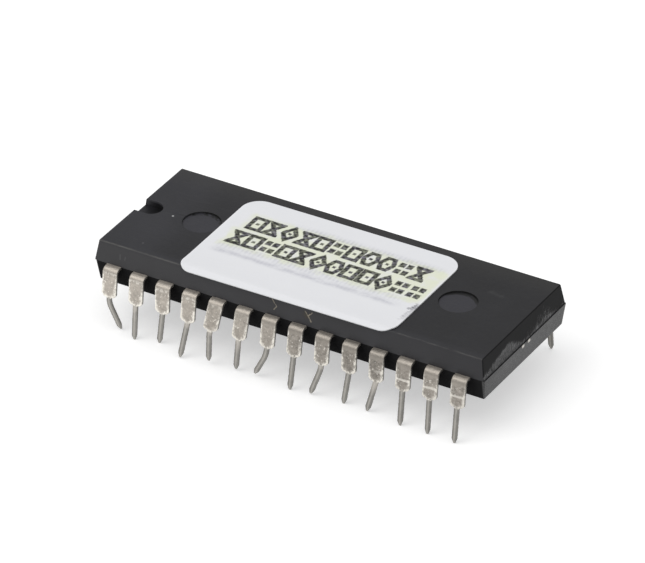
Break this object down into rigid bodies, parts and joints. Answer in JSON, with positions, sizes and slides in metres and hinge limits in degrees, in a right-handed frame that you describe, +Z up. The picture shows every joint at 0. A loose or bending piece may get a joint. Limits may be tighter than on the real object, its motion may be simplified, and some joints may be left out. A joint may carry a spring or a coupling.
{
  "type": "memory chip",
  "caption": "Memory chip in a black dual in-line plastic package with a white paper label, an index notch and two rows of tinned leads, the front row bent in use.",
  "frame": {"origin": "middle of the package in plan, at the plane that the tips of the straight pins stand on", "axes": "+X along the body away from the notch, -Y towards the front row (the bent leads), +Z up towards the label"},
  "size_m": [0.0369, 0.0168, 0.0078],
  "materials": {
    "mould_compound": "fine spark-eroded moulding texture, dull",
    "tinned_lead": "dull hot-dipped tin over a nickel-iron alloy",
    "lead_frame": "bare nickel-iron alloy strip",
    "silver_epoxy": "grey, dull",
    "silicon": "polished",
    "gold_wire": "bright drawn wire",
    "label_paper": "smooth coated white paper"
  },
  "bodies": {
    "root": {"package_body": "mould_compound", "lead_01": "tinned_lead", "lead_02": "tinned_lead", "lead_03": "tinned_lead", "lead_04": "tinned_lead", "lead_05": "tinned_lead", "lead_06": "tinned_lead", "lead_07": "tinned_lead", "lead_08": "tinned_lead", "lead_09": "tinned_lead", "lead_10": "tinned_lead", "lead_11": "tinned_lead", "lead_12": "tinned_lead", "lead_13": "tinned_lead", "lead_14": "tinned_lead", "lead_15": "tinned_lead", "lead_16": "tinned_lead", "lead_17": "tinned_lead", "lead_18": "tinned_lead", "lead_19": "tinned_lead", "lead_20": "tinned_lead", "lead_21": "tinned_lead", "lead_22": "tinned_lead", "lead_23": "tinned_lead", "lead_24": "tinned_lead", "lead_25": "tinned_lead", "lead_26": "tinned_lead", "lead_27": "tinned_lead", "lead_28": "tinned_lead", "die_paddle": "lead_frame", "die_attach": "silver_epoxy", "die": "silicon", "bond_wires": "gold_wire", "label": "label_paper"}
  },
  "joints": []
}
